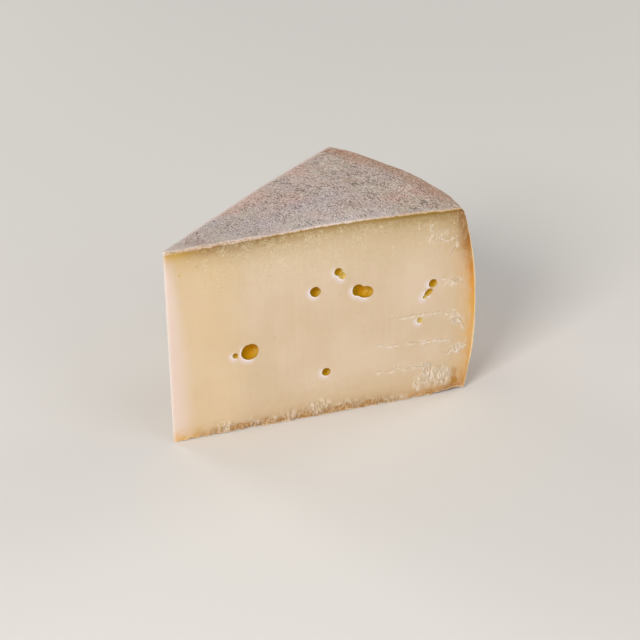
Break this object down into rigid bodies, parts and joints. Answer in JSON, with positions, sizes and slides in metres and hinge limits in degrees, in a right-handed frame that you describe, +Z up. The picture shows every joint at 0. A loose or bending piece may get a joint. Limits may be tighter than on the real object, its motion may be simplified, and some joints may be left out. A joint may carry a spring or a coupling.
{
  "type": "cheese wedge",
  "caption": "Tall narrow wedge cut from a round washed-rind semi-hard cheese, with small round eyes and torn lines in its cut faces.",
  "frame": {"origin": "under the middle of the wedge's bounding box, on the surface it rests on", "axes": "+X along the middle of the wedge from the tip to the heel, +Z up along the wheel's axis"},
  "size_m": [0.1148, 0.0786, 0.075],
  "materials": {
    "paste": "waxy",
    "rind": "rough"
  },
  "bodies": {
    "root": {"cheese_wedge": "paste"}
  },
  "joints": []
}
